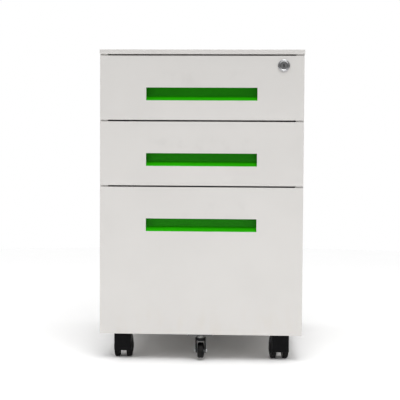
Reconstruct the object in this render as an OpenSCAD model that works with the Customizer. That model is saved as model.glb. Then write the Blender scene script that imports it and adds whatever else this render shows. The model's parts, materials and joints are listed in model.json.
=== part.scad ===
// Mobile filing pedestal: two box drawers over one file drawer, on four twin-wheel
// casters, with a fifth anti-tip caster under the file drawer's front.
// Millimetres. +X is right, -Y is the drawer side, +Z is up. The origin is on the
// floor, below the centre of the overall box.

/* [Cabinet] */
// Width across the drawer fronts and the side panels
body_w = 390; // [350:1:480]
// Depth from the drawer faces to the back of the top
body_d = 500; // [410:1:640]
// Height from the floor to the top
body_h = 600; // [500:1:760]
// Height of the top panel's folded edge
top_lip = 9; // [8:0.5:16]
// Steel thickness of the cabinet body and the drawer fronts
body_sheet = 1; // [0.8:0.05:1.3]
// Width of the front posts beside the drawer opening
post_w = 15.5; // [14:0.5:20]
// Depth of the front posts
post_d = 25; // [20:1:34]
// Drop of the side panels below the base sheet
skirt = 3; // [2:0.5:6]
// Free depth behind the slides
rear_room = 36; // [26:1:60]

/* [Drawers] */
// Height of each box drawer's front
box_front_h = 122.4; // [102:0.1:150]
// Depth from a drawer's face to its liner
front_t = 20; // [20:0.5:26]
// Width of the doubled edge round a drawer front
front_hem = 7; // [5:0.5:7]
// Gap between a closed front's doubled edge and the posts
post_gap = 0.8; // [0.6:0.1:1.5]
// Distance from a front's upper and lower edges to the liner's pan
pan_inset = 4; // [3:0.5:4.5]
// Gap between neighbouring drawer fronts
front_gap = 3; // [2:0.5:5]
// Gap between a closed drawer's liner and the cabinet frame
seat_gap = 1.2; // [0.8:0.1:2.5]
// Steel thickness of the trays
drawer_sheet = 0.8; // [0.6:0.05:1.1]
// Width of the folded edge along the top of a tray
tray_hem = 6; // [4:0.5:10]
// Height from a box front's lower edge to its tray
box_lift = 8; // [6:0.5:12]
// Height from a box tray to its front's upper edge
box_head = 30; // [29:0.5:40]
// Height from the file tray to its front's upper edge
file_head = 21; // [16:0.5:40]
// Height of the file hanger strips above the file tray
hanger_rise = 4; // [3:0.5:7]

/* [Slides] */
// Height of the outer slide member
slide_h = 45; // [36:1:50]
// Thickness of a closed slide
slide_t = 12.7; // [10.5:0.1:16]
// Steel thickness of the slide members
slide_steel = 1.2; // [1:0.1:1.4]
// Height of the slide's centre above its tray
slide_lift = 30; // [28:1:36]

/* [Handles] */
// Width of the finger opening
handle_w = 212.5; // [160:0.5:270]
// Height of the finger opening
handle_h = 24.6; // [20:0.1:32]
// Drop from a front's upper edge to its finger opening
handle_drop = 60.5; // [52:0.5:66]
// Free depth between the handle cup and the tray's liner
cup_room = 2.4; // [1.5:0.1:5]
// Rise of the cup's sloping floor
cup_rise = 9; // [5:0.5:12]
// Finger room above the opening, behind the face
finger_room = 11; // [7:0.5:14]
// Wall of the handle cup
cup_wall = 1.6; // [1.2:0.1:2]

/* [Lock] */
// Distance from the right side to the lock's centre
lock_inset = 39; // [37:0.5:60]
// Drop from the upper front's edge to the lock's centre
lock_drop = 18.4; // [18:0.1:21]
// Diameter of the lock's face ring
lock_ring_d = 23.5; // [22:0.5:28]
// Stand-out of the face ring
lock_proud = 3; // [2:0.5:4]
// Diameter of the lock's threaded barrel
lock_barrel_d = 19; // [17:0.5:20]
// Diameter of the turning plug
lock_plug_d = 13.5; // [12:0.5:14]
// Up and down travel of the lock bar
lock_travel = 8; // [6:0.5:9]

/* [Casters] */
// Diameter of the caster wheels
wheel_d = 40; // [36:1:50]
// Width of one caster wheel
wheel_w = 12.4; // [10:0.1:14]
// Width of the hood's centre web between twin wheels
web_w = 12.9; // [12.5:0.1:15]
// Distance from the swivel axis back to the axle
trail = 14; // [12:0.5:18]
// Distance from a side panel's face to the caster stem
caster_inset_x = 41; // [38:0.5:60]
// Distance from the drawer faces to the front caster stems
caster_inset_y = 40; // [40:0.5:60]
// Distance from the back to the rear caster stems
caster_inset_rear = 50; // [45:0.5:70]
// Resting turn of the front right caster
front_right_turn = 8; // [0:1:30]
// Diameter of the anti-tip wheel
tip_wheel_d = 30; // [24:1:32]
// Height of the anti-tip wheel above the floor
tip_clear = 4.5; // [3:0.5:6]

/* [Hidden] */
$fn = 48;
eps = 0.01; // overcut that keeps a cut's faces off the solid's faces
running = 0.05; // radial clearance of a shaft that turns in a bore
rub = 0.3; // gap between faces that slide or turn past each other

// Outer planes
face_y = -(body_d + lock_proud) / 2 + lock_proud;
back_y = face_y + body_d;
half_w = body_w / 2;
inner_x = half_w - body_sheet;
frame_y = face_y + front_t + drawer_sheet + seat_gap;
hem_y = face_y + 2 * body_sheet;
post_y = hem_y + post_gap;
top_z = body_h - body_sheet;

// Casters set the height of the base
hood_crown = 9.7; // hood height above the wheel
collar_h = 6;
axle_r = 3;
pin_r = 4;
stem_r = 5;
collar_r = 8;
hood_top_z = wheel_d + hood_crown;
pin_low_z = hood_top_z - 19; // depth of the pin in the hood
wheel_gap = 0.4; // hood's web to wheel
hub_cap = 2.4; // thickness of the wheel's closed outer end over its bore
base_z = hood_top_z + rub + collar_h;
ground_z = base_z - skirt;
mount_t = 3; // thickness of the caster mounting plates
stem_top_z = base_z + 8;
caster_x = half_w - caster_inset_x;
casters = [
    ["front_left", -caster_x, face_y + caster_inset_y, 0],
    ["front_right", caster_x, face_y + caster_inset_y, front_right_turn],
    ["rear_left", -caster_x, back_y - caster_inset_rear, 0],
    ["rear_right", caster_x, back_y - caster_inset_rear, 0],
];

// Drawers, from the top down
drawer_names = ["upper_drawer", "middle_drawer", "file_drawer"];
file_lift = stem_top_z + 4 - ground_z; // clears the caster stems
function front_top(i) = body_h - top_lip - front_gap - i * (box_front_h + front_gap);
function front_low(i) = i < 2 ? front_top(i) - box_front_h : ground_z;
function tray_low(i) = front_low(i) + (i < 2 ? box_lift : file_lift);
function tray_top(i) = front_top(i) - (i < 2 ? box_head : file_head);
liner_y = face_y + front_t;

// Slides between the posts and the trays
opening_x = half_w - post_w;
slide_y = frame_y + 2;
slide_l = back_y - rear_room - slide_y;
tray_x = opening_x - slide_t;
pan_x = opening_x - 1.5; // the pan clears the posts
function pan_low(i) = front_low(i) + (i < 2 ? pan_inset : 0);
function pan_top(i) = front_top(i) - pan_inset;
tray_back_y = slide_y + slide_l - 3;
outer_gap = 0.7; // outer web to middle web
inner_gap = 0.4; // middle web to the inner member's edges
outer_ball = 5.6; // ball race between the outer and middle flanges
inner_ball = 4.4; // ball race between the middle and inner flanges
function slide_z(i) = tray_low(i) + slide_lift;

// Handle cups
cup_flange = 6;
cup_flange_t = 2;
cup_back_y = face_y + front_t - cup_room - cup_wall;
function handle_low(i) = front_top(i) - handle_drop - handle_h;

// Lock train: the plug's pin drives a bar that drops hooks in front of drawer catches
lock_x = half_w - lock_inset;
lock_z = front_top(0) - lock_drop;
barrel_end_y = face_y + front_t + 2;
plug_proud = 1.2; // the plug's end sits below the ring's rim
lock_play = 0.2; // radial play of the barrel in the face's hole
nut_r = lock_barrel_d / 2 + 2.5;
nut_t = 4;
access_r = nut_r + 1; // lets a wrench reach the nut through the liner
cam_t = 2;
cam_r = 8;
cam_pin_r = 2;
cam_pin_l = 5.5;
cam_throw = lock_travel / 2 * sqrt(2); // the pin swings from 45 degrees up to 45 down
slot_play = 0.4;
bar_t = 1.5;
bar_play = 0.5; // bar to post, and bar to guide
bar_x = opening_x + body_sheet + bar_play;
bar_y = frame_y + 4;
guide_t = 1;
guide_h = 14;
bar_w = frame_y + post_d - 1.5 - guide_t - bar_play - bar_y; // fits the post with its guides
tab_h = 12; // height of the tab that the pin drives
hook_h = 10;
hook_reach = slide_t - 3.2; // hook inward from the opening's edge, clear of the tray
catch_t = 1.5;
catch_h = 10;
catch_y = bar_y + bar_t + catch_t;
catch_gap = 1.5; // hook above catch when unlocked
function catch_z(i) = slide_z(i) + slide_h / 2 + 6;

// Anti-tip caster under the file drawer's front
tip_plate = [48, front_t - 2, 2.5];
tip_trail = 10;
tip_y = face_y + front_t / 2;
tip_axle_z = tip_clear + tip_wheel_d / 2;
tip_axle_r = 2.5;
tip_wheel_w = 12.6;
tip_fork_w = 19.5;
tip_fork_t = 2.2;
tip_head_room = 6.6; // from the wheel up to the fork's crown, past the kingpin's head
tip_crown_t = 4.6;
tip_crown_z = tip_clear + tip_wheel_d + tip_head_room;
tip_fork_top_z = tip_crown_z + tip_crown_t;
tip_collar_r = 8;
kingpin_r = 3;
kingpin_head = [5, 1.5]; // radius, height

white = [0.85, 0.84, 0.82];
green = [0.10, 0.62, 0.02];
black = [0.05, 0.05, 0.055];
zinc = [0.72, 0.73, 0.74];
chrome = [0.80, 0.80, 0.80];

sides = ["left", "right"];
slide_rows = ["upper", "middle", "file"];
NODES = concat(
    ["top_panel", "left_side_panel", "right_side_panel", "back_panel", "base_panel"],
    ["top_rail", "rear_uprights", "caster_mount_plates", "caster_stems", "lock_bar_guides"],
    [for (r = slide_rows) str(r, "_slide_outer_members")],
    [for (r = slide_rows, s = sides, m = ["middle", "inner"]) str(r, "_slide_", s, "_", m)],
    [for (d = drawer_names, p = ["front", "tray", "handle"]) str(d, "_", p)],
    ["file_hanger_strips", "lock_barrel", "lock_nut", "lock_plug", "lock_cam", "lock_bar"],
    [for (c = casters, p = ["hood", "axle", "left_wheel", "right_wheel"]) str(c[0], "_caster_", p)],
    ["tip_caster_plate", "tip_caster_fork", "tip_caster_axle", "tip_caster_wheel"]
);
node = "all";

function wanted(name) = node == "all" || node == name;

// ---------------------------------------------------------------- helpers

// A box given by its lowest and highest corners.
module block(lo, hi) {
    translate(lo) cube(hi - lo);
}

// Mirrors a right-hand piece to the named side.
module on_side(side) {
    mirror([side == "left" ? 1 : 0, 0, 0]) children();
}

// A cylinder along +Y that starts at y.
module rod_y(x, y, z, r, l) {
    translate([x, y, z]) rotate([-90, 0, 0]) cylinder(r = r, h = l);
}

// A cylinder along X, centred on x = 0.
module rod_x(y, z, r, l) {
    translate([-l / 2, y, z]) rotate([0, 90, 0]) cylinder(r = r, h = l);
}

// A profile drawn in (y, z), extruded along X and centred on x = 0.
module slab_x(points, w) {
    translate([-w / 2, 0, 0]) rotate([90, 0, 90]) linear_extrude(w) polygon(points);
}

// Points on an arc in degrees.
function arc(cx, cy, r, a0, a1, n = 8) =
    [for (k = [0:n]) let (a = a0 + (a1 - a0) * k / n) [cx + r * cos(a), cy + r * sin(a)]];

// ---------------------------------------------------------------- cabinet body

// A pan over the whole body, with a closed box edge above the upper drawer.
module top_panel() color(white) {
    lip_x = half_w + body_sheet;
    difference() {
        block([-lip_x, face_y, body_h - top_lip], [lip_x, back_y, body_h]);
        block([-half_w, face_y + body_sheet, body_h - top_lip - 1],
              [half_w, back_y - body_sheet, top_z]);
    }
    block([-half_w - eps, face_y + eps, body_h - top_lip],
          [half_w + eps, frame_y - 0.5, body_h - top_lip + body_sheet]);
}

// The front post's section in plan: the skin turns in, then back.
function post_section() = [
    [half_w, post_y], [opening_x, post_y], [opening_x, frame_y + post_d],
    [opening_x + body_sheet, frame_y + post_d], [opening_x + body_sheet, post_y + body_sheet],
    [inner_x, post_y + body_sheet], [inner_x, back_y - 2 * body_sheet],
    [inner_x - post_w + body_sheet, back_y - 2 * body_sheet],
    [inner_x - post_w + body_sheet, back_y - body_sheet], [half_w, back_y - body_sheet]
];

// A side skin folded into the front post and the rear return. The post's front ends below the top's lip.
module side_panel(side) color(white) on_side(side) difference() {
    union() {
        translate([0, 0, base_z + body_sheet])
            linear_extrude(top_z - base_z - body_sheet) polygon(post_section());
        block([inner_x, post_y, ground_z], [half_w, back_y - body_sheet, base_z + body_sheet + eps]);
    }
    block([opening_x - 1, post_y - 1, body_h - top_lip], [half_w + 1, frame_y - 0.5, body_h]);
    if (side == "right") lock_windows();
}

// Windows in the right post for the lock bar's tab and hooks, tall enough for its travel.
module lock_windows() {
    low = lock_travel + 1;
    for (z = [for (i = [0:2]) catch_z(i) + catch_h + catch_gap])
        block([opening_x - 1, bar_y - 1, z - low],
              [opening_x + body_sheet + eps, bar_y + bar_t + 1, z + hook_h + 1]);
    tab_z = lock_z + lock_travel / 2;
    block([opening_x - 1, bar_y - 1, tab_z - tab_h / 2 - low],
          [opening_x + body_sheet + eps, bar_y + bar_t + 1, tab_z + tab_h / 2 + 1]);
}

module back_panel() color(white)
    block([-inner_x + 0.2, back_y - 3 * body_sheet, base_z + body_sheet],
          [inner_x - 0.2, back_y - 2 * body_sheet, top_z]);

// The base sheet with its edges turned down, drilled for the caster stems.
module base_panel() color(white) difference() {
    block([-inner_x, frame_y, ground_z], [inner_x, back_y - body_sheet, base_z + body_sheet]);
    block([-inner_x + body_sheet, frame_y + body_sheet, ground_z - 1],
          [inner_x - body_sheet, back_y - 2 * body_sheet, base_z]);
    for (c = casters) translate([c[1], c[2], base_z - 1]) cylinder(r = stem_r + 0.3, h = 3 * body_sheet);
}

// An angle behind the upper drawer's front that ties the two posts.
module top_rail() color(white) {
    rail_h = 16;
    rail_d = 18;
    block([-opening_x, frame_y, top_z - rail_h], [opening_x, frame_y + body_sheet, top_z]);
    block([-opening_x, frame_y + eps, top_z - body_sheet], [opening_x, frame_y + rail_d, top_z]);
}

// Z-sections that carry the slides' rear ends from the side skins.
module rear_uprights() color(white) for (s = sides) on_side(s) {
    web = 25;
    foot = 20;
    y0 = slide_y + slide_l - web;
    y1 = y0 + web - body_sheet;
    translate([0, 0, base_z + body_sheet]) linear_extrude(top_z - base_z - body_sheet) polygon([
        [opening_x, y0], [opening_x + body_sheet, y0], [opening_x + body_sheet, y1],
        [inner_x, y1], [inner_x, y1 + foot], [inner_x - body_sheet, y1 + foot],
        [inner_x - body_sheet, y1 + body_sheet], [opening_x, y1 + body_sheet]
    ]);
}

// Welded plates that take the threads of the four stems.
module caster_mount_plates() color(zinc) for (c = casters) translate([c[1], c[2], base_z + body_sheet]) {
    size = 34;
    difference() {
        translate([-size / 2, -size / 2, 0]) cube([size, size, mount_t]);
        translate([0, 0, -1]) cylinder(r = stem_r, h = mount_t + 2);
    }
}

// A threaded end, a flanged collar, and the plain pin that the hood turns on.
module caster_stems() color(zinc) for (c = casters) translate([c[1], c[2], 0]) {
    translate([0, 0, base_z - eps]) cylinder(r = stem_r, h = stem_top_z - base_z);
    translate([0, 0, hood_top_z + rub]) cylinder(r = collar_r, h = collar_h);
    translate([0, 0, pin_low_z]) cylinder(r = pin_r, h = hood_top_z + rub + eps - pin_low_z);
}

// ---------------------------------------------------------------- slides

// A channel open towards -x_in, from the steel face at x0: flanges of depth d and height h.
module channel(x0, d, h, turned, y, l) {
    lo = turned ? x0 - d : x0;
    web = turned ? x0 - slide_steel : x0;
    for (s = [-1, 1]) {
        z = s > 0 ? h / 2 - slide_steel : -h / 2;
        block([lo, y, z], [lo + d, y + l, z + slide_steel]);
    }
    block([web, y, -h / 2], [web + slide_steel, y + l, h / 2]);
}

// Outer members, screwed to the posts and the rear uprights, open towards the drawer.
module slide_outer_members(i) color(zinc) for (s = sides) on_side(s) translate([0, 0, slide_z(i)]) {
    screw_r = 2.2;
    difference() {
        channel(opening_x, slide_t - 1.6, slide_h, true, slide_y, slide_l);
        for (y = [slide_y + 12, slide_y + slide_l - 13])
            translate([opening_x - slide_t, y, 0]) rotate([0, 90, 0]) cylinder(r = screw_r, h = slide_t + 1);
    }
}

// Middle member: rides on balls inside the outer member and moves half as far.
module slide_middle(i, side) color(zinc) on_side(side) translate([0, 0, slide_z(i)])
    channel(opening_x - slide_steel - outer_gap, slide_t - 3.4 - outer_gap,
            slide_h - 2 * (slide_steel + outer_ball), true, slide_y + 2, slide_l - 4);

// Inner member: screwed to the tray, open towards the post.
module slide_inner(i, side) color(zinc) on_side(side) translate([0, 0, slide_z(i)])
    channel(tray_x, slide_t - 2 * slide_steel - outer_gap - inner_gap,
            slide_h - 2 * (2 * slide_steel + outer_ball + inner_ball), false, slide_y + 1, slide_l - 4);

// ---------------------------------------------------------------- drawers

// A steel front with doubled edges, and openings for the handle cup and the upper drawer's lock.
module drawer_front(i) color(white) difference() {
    block([-half_w, face_y, front_low(i)], [half_w, hem_y, front_top(i)]);
    block([-pan_x + front_hem, face_y + body_sheet, front_low(i) + front_hem],
          [pan_x - front_hem, hem_y + 1, front_top(i) - front_hem]);
    block([-handle_w / 2, face_y - 1, handle_low(i)],
          [handle_w / 2, face_y + body_sheet + 1, handle_low(i) + handle_h]);
    if (i == 0) rod_y(lock_x, face_y - 1, lock_z, lock_barrel_d / 2 + lock_play, body_sheet + 2);
}

// The tray with folded top edges and the lock's catch, and the liner, a pan that closes the front.
module drawer_tray(i) color(white) {
    low = tray_low(i);
    top = tray_top(i);
    difference() {
        union() {
            difference() {
                block([-tray_x, liner_y + eps, low], [tray_x, tray_back_y, top]);
                block([-tray_x + drawer_sheet, liner_y + drawer_sheet, low + drawer_sheet],
                      [tray_x - drawer_sheet, tray_back_y - drawer_sheet, top - drawer_sheet]);
                block([-tray_x + tray_hem, liner_y + drawer_sheet, low + drawer_sheet],
                      [tray_x - tray_hem, tray_back_y - tray_hem, top + 1]);
            }
            difference() {
                block([-pan_x, hem_y, pan_low(i)], [pan_x, liner_y + drawer_sheet, pan_top(i)]);
                block([-pan_x + drawer_sheet, hem_y - 1, pan_low(i) + drawer_sheet],
                      [pan_x - drawer_sheet, liner_y, pan_top(i) - drawer_sheet]);
            }
            block([tray_x - drawer_sheet, catch_y, catch_z(i)],
                  [opening_x - 1, catch_y + catch_t, catch_z(i) + catch_h]);
        }
        if (i == 0) rod_y(lock_x, liner_y - 1, lock_z, access_r, 3);
        if (i == 2) tip_screw_holes();
    }
}

// The moulded finger cup: the floor slopes up and back, and the roof is above the opening.
module drawer_handle(i) color(green) translate([0, 0, handle_low(i)]) {
    seat = face_y + body_sheet;
    deep = cup_back_y;
    roof = handle_h + finger_room;
    difference() {
        union() {
            block([-handle_w / 2 - cup_flange, seat, -cup_flange],
                  [handle_w / 2 + cup_flange, seat + cup_flange_t, roof + cup_flange]);
            slab_x([
                [seat + 1, -cup_wall], [seat + cup_flange_t, -cup_wall],
                [deep + cup_wall, cup_rise - cup_wall], [deep + cup_wall, roof + cup_wall],
                [seat + 1, roof + cup_wall]
            ], handle_w + 2 * cup_wall);
        }
        slab_x([
            [seat - 1, 0], [seat, 0], [deep, cup_rise], [deep, roof],
            [seat + cup_flange_t, roof], [seat + cup_flange_t, handle_h], [seat - 1, handle_h]
        ], handle_w);
    }
}

// Angles on the file tray's hems whose upright edges carry hanging files.
module file_hanger_strips() color(zinc) for (s = sides) on_side(s) {
    strip_t = 1.2;
    edge_t = 2;
    x1 = tray_x - drawer_sheet;
    y = [liner_y + drawer_sheet + 1, tray_back_y - tray_hem - 1];
    block([tray_x - tray_hem, y[0], tray_top(2)], [x1, y[1], tray_top(2) + strip_t]);
    block([x1 - edge_t, y[0], tray_top(2)], [x1, y[1], tray_top(2) + hanger_rise]);
}

// ---------------------------------------------------------------- lock

// The barrel with its dished face ring. The plug turns in its bore.
module lock_barrel() color(chrome) {
    ring_r = lock_ring_d / 2;
    bore_r = lock_plug_d / 2 + running;
    dish_r = bore_r + 0.3 * (ring_r - bore_r);
    round_r = 2;
    l = barrel_end_y - face_y;
    translate([lock_x, face_y, lock_z]) rotate([-90, 0, 0]) rotate_extrude() polygon(concat(
        [[bore_r, l], [bore_r, -plug_proud], [dish_r, -lock_proud]],
        arc(ring_r - round_r, -lock_proud + round_r, round_r, -100, 0, 6),
        [[ring_r, 0], [lock_barrel_d / 2, 0], [lock_barrel_d / 2, l]]
    ));
}

// A thin nut behind the face sheet, with two flats for a wrench.
module lock_nut() color(zinc) intersection() {
    flat = nut_r - 1.5;
    difference() {
        rod_y(lock_x, face_y + body_sheet, lock_z, nut_r, nut_t);
        rod_y(lock_x, face_y, lock_z, lock_barrel_d / 2, nut_t + body_sheet + 1);
    }
    block([lock_x - nut_r, face_y, lock_z - flat], [lock_x + nut_r, face_y + 2 * nut_t, lock_z + flat]);
}

// The plug that the key turns, with its keyway.
module lock_plug() color(chrome) {
    keyway = [1.8, 12, 7];
    difference() {
        rod_y(lock_x, face_y - plug_proud, lock_z, lock_plug_d / 2, plug_proud + barrel_end_y + rub - face_y);
        translate([lock_x - keyway[0] / 2, face_y - 2, lock_z - keyway[2] / 2]) cube(keyway);
    }
}

// The disc on the plug's rear end, with the pin that drives the bar's tab.
module lock_cam() color(zinc) {
    y = barrel_end_y + rub;
    rod_y(lock_x, y, lock_z, cam_r, cam_t);
    rod_y(lock_x + cam_throw * cos(45), y + cam_t - eps, lock_z + cam_throw * sin(45), cam_pin_r, cam_pin_l);
}

// The strip in the right post, with the driven tab and one hook for each drawer.
module lock_bar() color(zinc) {
    tab_z = lock_z + lock_travel / 2;
    low_z = catch_z(2) + catch_h + catch_gap;
    pin_x = [lock_x + cam_throw * cos(45), lock_x + cam_throw];
    difference() {
        union() {
            block([bar_x, bar_y, low_z], [bar_x + bar_t, bar_y + bar_w, tab_z + tab_h / 2]);
            block([lock_x - 2, bar_y, tab_z - tab_h / 2], [bar_x + bar_t, bar_y + bar_t, tab_z + tab_h / 2]);
            for (i = [0:2]) {
                z = catch_z(i) + catch_h + catch_gap;
                block([opening_x - hook_reach, bar_y, z], [bar_x + bar_t, bar_y + bar_t, z + hook_h]);
            }
        }
        block([pin_x[0] - cam_pin_r - slot_play, bar_y - 1, tab_z - cam_pin_r - slot_play],
              [pin_x[1] + cam_pin_r + slot_play, bar_y + bar_t + 1, tab_z + cam_pin_r + slot_play]);
    }
}

// Clips that hold the bar against the post and let it slide.
module lock_bar_guides() color(zinc) {
    x0 = opening_x + body_sheet;
    x1 = bar_x + bar_t + bar_play;
    y0 = bar_y - bar_play - guide_t;
    y1 = bar_y + bar_w + bar_play;
    for (i = [0, 1]) translate([0, 0, slide_z(i) - guide_h / 2]) linear_extrude(guide_h) polygon([
        [x0, y0], [x1 + guide_t, y0], [x1 + guide_t, y1 + guide_t], [x0, y1 + guide_t],
        [x0, y1], [x1, y1], [x1, y0 + guide_t], [x0, y0 + guide_t]
    ]);
}

// ---------------------------------------------------------------- casters

// Places a caster piece at its stem, turned to its resting direction.
module at_caster(c) {
    translate([c[1], c[2], 0]) rotate([0, 0, c[3]]) children();
}

// The hood's side view: upright front, flat top, then a slope onto the wheel's guard.
function hood_outline() = let (r = wheel_d / 2, guard = r + 3.2, front = trail - r - 4.5) concat(
    [[front, r - 5], [front, hood_top_z - 5]],
    arc(front + 5, hood_top_z - 5, 5, 180, 90, 6),
    [[9, hood_top_z]],
    arc(trail, r, guard, 55, 5, 8),
    [[trail + 6, r - 6]]
);

// The hood over both wheels, with its centre web and the stem's socket.
module caster_hood() color(black) {
    r = wheel_d / 2;
    hood_w = web_w + 2 * (wheel_gap + wheel_w - 2.75); // leaves the wheels' domes outside
    difference() {
        slab_x(hood_outline(), hood_w);
        for (s = [-1, 1]) translate([s * (web_w / 2 + hood_w / 2), 0, 0]) rod_x(trail, r, r + 0.8, hood_w);
        rod_x(trail, r, axle_r, hood_w);
        translate([0, 0, pin_low_z - 1]) cylinder(r = pin_r + running, h = hood_top_z);
    }
}

// A plain pin pressed through the hood's web, with a free end in each hub.
module caster_axle() color(zinc)
    rod_x(trail, wheel_d / 2, axle_r, web_w + 2 * (wheel_gap + wheel_w - hub_cap - 1.5));

// One wheel as a turned solid: rounded tread, domed outer face, blind hub bore.
function wheel_section() = let (
    r = wheel_d / 2, bore = axle_r + running, tread = wheel_w - 4.4, shoulder = tread + 1.9, crown = 7
) concat(
    [[0, wheel_w - hub_cap], [bore, wheel_w - hub_cap], [bore, 0]],
    arc(r - 1.6, 1.6, 1.6, -90, 0, 4),
    arc(r - 2, tread, 2, 0, 70, 5),
    [for (k = [0:crown]) let (f = k / crown, rim = r - 3.4)
        [rim * (1 - f) + axle_r * f, shoulder + (wheel_w - shoulder) * sin(90 * f)]],
    [[0, wheel_w]]
);

module caster_wheel(side) color(black) on_side(side) translate([web_w / 2 + wheel_gap, trail, wheel_d / 2])
    rotate([0, 90, 0]) rotate_extrude() polygon(wheel_section());

// The anti-tip caster's screw holes, through its plate and the lowest liner's pan.
module tip_screw_holes() for (s = [-1, 1])
    translate([s * (tip_plate[0] / 2 - 7), tip_y, ground_z - tip_plate[2] - 1])
        cylinder(r = 2, h = tip_plate[2] + drawer_sheet + 2);

// The plate under the file drawer's front, with its collar and headed kingpin.
module tip_caster_plate() color(zinc) {
    plate_low_z = ground_z - tip_plate[2];
    head_low_z = tip_crown_z - rub - kingpin_head[1];
    difference() {
        translate([-tip_plate[0] / 2, tip_y - tip_plate[1] / 2, plate_low_z]) cube(tip_plate);
        tip_screw_holes();
    }
    collar_low_z = tip_fork_top_z + rub;
    translate([0, tip_y, collar_low_z]) cylinder(r = tip_collar_r, h = plate_low_z + eps - collar_low_z);
    translate([0, tip_y, head_low_z]) cylinder(r = kingpin_r, h = collar_low_z + eps - head_low_z);
    translate([0, tip_y, head_low_z]) cylinder(r = kingpin_head[0], h = kingpin_head[1]);
}

// A crown on the kingpin with two legs down to the axle.
module tip_caster_fork() color(black) translate([0, tip_y, 0]) {
    leg_r = 5.1;
    front = -9;
    rear = tip_trail + 4;
    difference() {
        union() {
            slab_x([
                [front, tip_crown_z], [front, tip_fork_top_z - 2], [front + 2, tip_fork_top_z],
                [rear - 3, tip_fork_top_z], [rear, tip_crown_z]
            ], tip_fork_w);
            for (s = [-1, 1]) translate([s * (tip_fork_w - tip_fork_t) / 2, 0, 0]) {
                slab_x([
                    [front, tip_crown_z + eps], [rear, tip_crown_z + eps],
                    [tip_trail + leg_r, tip_axle_z], [tip_trail - leg_r, tip_axle_z]
                ], tip_fork_t);
                rod_x(tip_trail, tip_axle_z, leg_r, tip_fork_t);
            }
        }
        translate([0, 0, tip_crown_z - 1]) cylinder(r = kingpin_r + running, h = tip_crown_t + 2);
        rod_x(tip_trail, tip_axle_z, tip_axle_r, tip_fork_w + 2);
    }
}

// A plain axle with a head against the outside of each leg.
module tip_caster_axle() color(zinc) translate([0, tip_y, 0]) {
    head = [4, 2]; // radius, thickness
    rod_x(tip_trail, tip_axle_z, tip_axle_r, tip_fork_w + 2 * eps);
    for (s = [-1, 1]) translate([s * (tip_fork_w + head[1]) / 2, 0, 0])
        rod_x(tip_trail, tip_axle_z, head[0], head[1]);
}

module tip_caster_wheel() color(black) {
    r = tip_wheel_d / 2;
    w = tip_wheel_w / 2;
    bore = tip_axle_r + running;
    translate([0, tip_y + tip_trail, tip_axle_z]) rotate([0, 90, 0]) rotate_extrude() polygon(concat(
        [[bore, -w], [r - 3.5, -w]],
        arc(r - 3.5, -w + 3.5, 3.5, -90, 0, 6),
        arc(r - 3.5, w - 3.5, 3.5, 0, 90, 6),
        [[bore, w]]
    ));
}

// ---------------------------------------------------------------- assembly

if (wanted("top_panel")) top_panel();
for (s = sides) if (wanted(str(s, "_side_panel"))) side_panel(s);
if (wanted("back_panel")) back_panel();
if (wanted("base_panel")) base_panel();
if (wanted("top_rail")) top_rail();
if (wanted("rear_uprights")) rear_uprights();
if (wanted("caster_mount_plates")) caster_mount_plates();
if (wanted("caster_stems")) caster_stems();
if (wanted("lock_bar_guides")) lock_bar_guides();
for (i = [0:2]) if (wanted(str(slide_rows[i], "_slide_outer_members"))) slide_outer_members(i);
for (i = [0:2], s = sides) {
    if (wanted(str(slide_rows[i], "_slide_", s, "_middle"))) slide_middle(i, s);
    if (wanted(str(slide_rows[i], "_slide_", s, "_inner"))) slide_inner(i, s);
}
for (i = [0:2]) {
    if (wanted(str(drawer_names[i], "_front"))) drawer_front(i);
    if (wanted(str(drawer_names[i], "_tray"))) drawer_tray(i);
    if (wanted(str(drawer_names[i], "_handle"))) drawer_handle(i);
}
if (wanted("file_hanger_strips")) file_hanger_strips();
if (wanted("lock_barrel")) lock_barrel();
if (wanted("lock_nut")) lock_nut();
if (wanted("lock_plug")) lock_plug();
if (wanted("lock_cam")) lock_cam();
if (wanted("lock_bar")) lock_bar();
for (c = casters) {
    if (wanted(str(c[0], "_caster_hood"))) at_caster(c) caster_hood();
    if (wanted(str(c[0], "_caster_axle"))) at_caster(c) caster_axle();
    for (s = sides) if (wanted(str(c[0], "_caster_", s, "_wheel"))) at_caster(c) caster_wheel(s);
}
if (wanted("tip_caster_plate")) tip_caster_plate();
if (wanted("tip_caster_fork")) tip_caster_fork();
if (wanted("tip_caster_axle")) tip_caster_axle();
if (wanted("tip_caster_wheel")) tip_caster_wheel();
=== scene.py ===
"""Finishes a mobile filing pedestal: paint, plastic, plating and small parts around its CAD model."""

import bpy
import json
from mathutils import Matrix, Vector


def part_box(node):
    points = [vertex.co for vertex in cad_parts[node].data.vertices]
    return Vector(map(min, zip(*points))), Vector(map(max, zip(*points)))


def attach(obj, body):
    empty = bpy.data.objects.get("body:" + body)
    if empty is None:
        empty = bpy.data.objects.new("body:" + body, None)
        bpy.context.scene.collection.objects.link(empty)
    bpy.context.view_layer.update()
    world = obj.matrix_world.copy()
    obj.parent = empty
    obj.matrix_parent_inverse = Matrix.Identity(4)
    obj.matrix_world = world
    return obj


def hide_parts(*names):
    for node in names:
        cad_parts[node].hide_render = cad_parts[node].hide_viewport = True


bl_info = {
    "name": "Mobile filing pedestal",
    "version": (1, 0, 0),
    "blender": (4, 5, 0),
    "location": "3D View > Sidebar > Pedestal",
    "description": "Finishes the steel body, drawers, pulls, lock, slides and casters of a filing pedestal",
    "category": "Object",
}

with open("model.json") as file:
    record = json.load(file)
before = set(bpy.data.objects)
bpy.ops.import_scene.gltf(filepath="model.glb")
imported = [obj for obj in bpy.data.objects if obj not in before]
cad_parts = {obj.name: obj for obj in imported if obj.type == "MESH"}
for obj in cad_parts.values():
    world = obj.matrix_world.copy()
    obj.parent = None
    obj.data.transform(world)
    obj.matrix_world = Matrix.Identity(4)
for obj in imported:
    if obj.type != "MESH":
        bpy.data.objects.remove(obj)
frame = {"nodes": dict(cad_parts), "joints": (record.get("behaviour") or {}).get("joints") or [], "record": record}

import json
import math

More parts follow.
